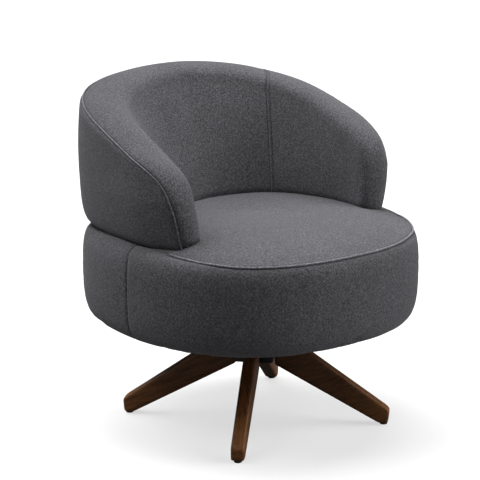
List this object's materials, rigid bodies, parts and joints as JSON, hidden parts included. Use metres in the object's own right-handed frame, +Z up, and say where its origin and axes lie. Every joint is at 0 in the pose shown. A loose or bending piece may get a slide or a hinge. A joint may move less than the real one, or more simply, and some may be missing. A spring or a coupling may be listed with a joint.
{
  "type": "swivel armchair",
  "caption": "Low round armchair: a crowned drum seat, a crescent back that slopes down into both arms, and a swivel base of tapered wooden legs.",
  "frame": {"origin": "on the floor, midway between the front of the seat and the rear of the back, on the chair's mirror plane", "axes": "+Z up, -Y the way the sitter faces, +X to the sitter's left"},
  "size_m": [0.72, 0.752, 0.766],
  "materials": {
    "charcoal_cloth": "heathered woven upholstery cloth, matt",
    "foam": "open-cell upholstery foam, matt",
    "webbing_cloth": "woven elastic webbing, matt",
    "lining_cloth": "thin black lining, matt",
    "plywood": "raw plywood, sanded",
    "walnut": "dark brown stained wood, satin",
    "black_steel": "black powder coat, satin",
    "zinc_steel": "zinc plated",
    "nylon": "matt"
  },
  "bodies": {
    "base": {"glide_front_left": "nylon", "glide_front_right": "nylon", "glide_rear_left": "nylon", "glide_rear_right": "nylon", "leg_bolt_front_left_lower": "zinc_steel", "leg_bolt_front_left_upper": "zinc_steel", "leg_bolt_front_right_lower": "zinc_steel", "leg_bolt_front_right_upper": "zinc_steel", "leg_bolt_rear_left_lower": "zinc_steel", "leg_bolt_rear_left_upper": "zinc_steel", "leg_bolt_rear_right_lower": "zinc_steel", "leg_bolt_rear_right_upper": "zinc_steel", "leg_front_left": "walnut", "leg_front_right": "walnut", "leg_hub": "black_steel", "leg_rear_left": "walnut", "leg_rear_right": "walnut", "lower_race": "zinc_steel", "swivel_lower_plate": "black_steel"},
    "bearing_cage": {"ball_1": "zinc_steel", "ball_2": "zinc_steel", "ball_3": "zinc_steel", "ball_4": "zinc_steel", "ball_5": "zinc_steel", "ball_6": "zinc_steel", "ball_cage": "nylon"},
    "seat": {"back_base_rail": "plywood", "back_bolt_left": "zinc_steel", "back_bolt_rear": "zinc_steel", "back_bolt_right": "zinc_steel", "back_cover": "charcoal_cloth", "back_foam": "foam", "back_inner_panel": "plywood", "back_outer_panel": "plywood", "back_rib_1": "plywood", "back_rib_2": "plywood", "back_rib_3": "plywood", "back_top_rail": "plywood", "dust_cover": "lining_cloth", "plate_screw_1": "zinc_steel", "plate_screw_2": "zinc_steel", "plate_screw_3": "zinc_steel", "plate_screw_4": "zinc_steel", "seat_board": "plywood", "seat_cover": "charcoal_cloth", "seat_foam_band": "foam", "seat_foam_pad": "foam", "seat_post_1": "plywood", "seat_post_2": "plywood", "seat_post_3": "plywood", "seat_post_4": "plywood", "seat_top_ring": "plywood", "spindle_nut": "zinc_steel", "swivel_spindle": "zinc_steel", "swivel_upper_plate": "black_steel", "upper_race": "zinc_steel", "webbing_crosswise_1": "webbing_cloth", "webbing_crosswise_2": "webbing_cloth", "webbing_lengthwise_1": "webbing_cloth", "webbing_lengthwise_2": "webbing_cloth"}
  },
  "joints": [
    {"name": "seat_swivel", "type": "hinge", "parent": "base", "child": "seat", "pos_m": [0, -0.03, 0], "axis": [0, 0, 1], "continuous": true},
    {"name": "cage_spin", "type": "hinge", "parent": "base", "child": "bearing_cage", "pos_m": [0, -0.03, 0], "axis": [0, 0, 1], "continuous": true}
  ],
  "couplings": [
    {"joint": "cage_spin", "follows": "seat_swivel", "ratio": 0.5}
  ]
}
